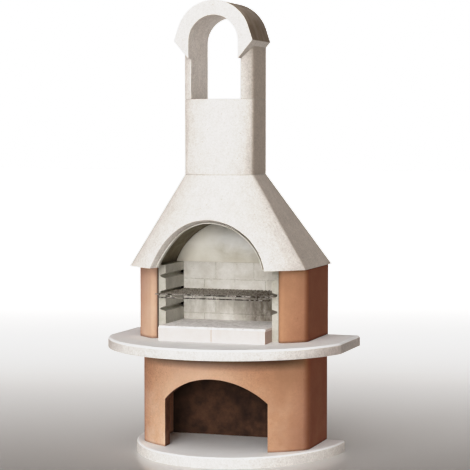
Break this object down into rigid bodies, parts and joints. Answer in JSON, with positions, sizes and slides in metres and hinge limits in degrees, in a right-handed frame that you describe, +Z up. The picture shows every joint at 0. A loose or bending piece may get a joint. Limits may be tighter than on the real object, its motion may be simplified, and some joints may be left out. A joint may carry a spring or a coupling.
{
  "type": "outdoor masonry barbecue",
  "caption": "Cast concrete garden barbecue with an arched log store, bowed worktop, slotted fire chamber, tapered hood, chimney with a round-topped cap, and a sliding grate.",
  "frame": {"origin": "on the ground, under the middle of the plan", "axes": "+Z up, front towards -Y, +X to the right seen from the front"},
  "size_m": [1.134, 0.7719, 2.0999],
  "materials": {
    "cream_concrete": "fine sandy render",
    "terracotta_concrete": "smooth cast with fine speckle",
    "firebrick": "smooth cast refractory",
    "hearth_brick": "pale cast, ash-dusted top",
    "hood_sheet": "dull smoke-tinted sheet",
    "grate_wire": "bright plated wire"
  },
  "bodies": {
    "structure": {"base_slab": "cream_concrete", "lower_wall": "terracotta_concrete", "lower_back_panel": "terracotta_concrete", "upper_back_panel": "terracotta_concrete", "worktop": "cream_concrete", "upper_wall_left": "terracotta_concrete", "upper_wall_right": "terracotta_concrete", "liner_left": "firebrick", "liner_right": "firebrick", "liner_back_left": "firebrick", "liner_back_right": "firebrick", "hearth_block_left": "hearth_brick", "hearth_block_right": "hearth_brick", "hood": "cream_concrete", "chimney_shaft": "cream_concrete", "chimney_cap": "cream_concrete", "arch_ring": "hood_sheet", "smoke_vault": "hood_sheet", "vault_back_plate": "hood_sheet"},
    "cooking_grate": {"grate": "grate_wire", "grate_front_rod": "grate_wire", "grate_rail": "grate_wire"}
  },
  "joints": [
    {"name": "grate_slide", "type": "slide", "parent": "structure", "child": "cooking_grate", "axis": [0, -1, 0], "range_m": [0, 0.2]}
  ]
}
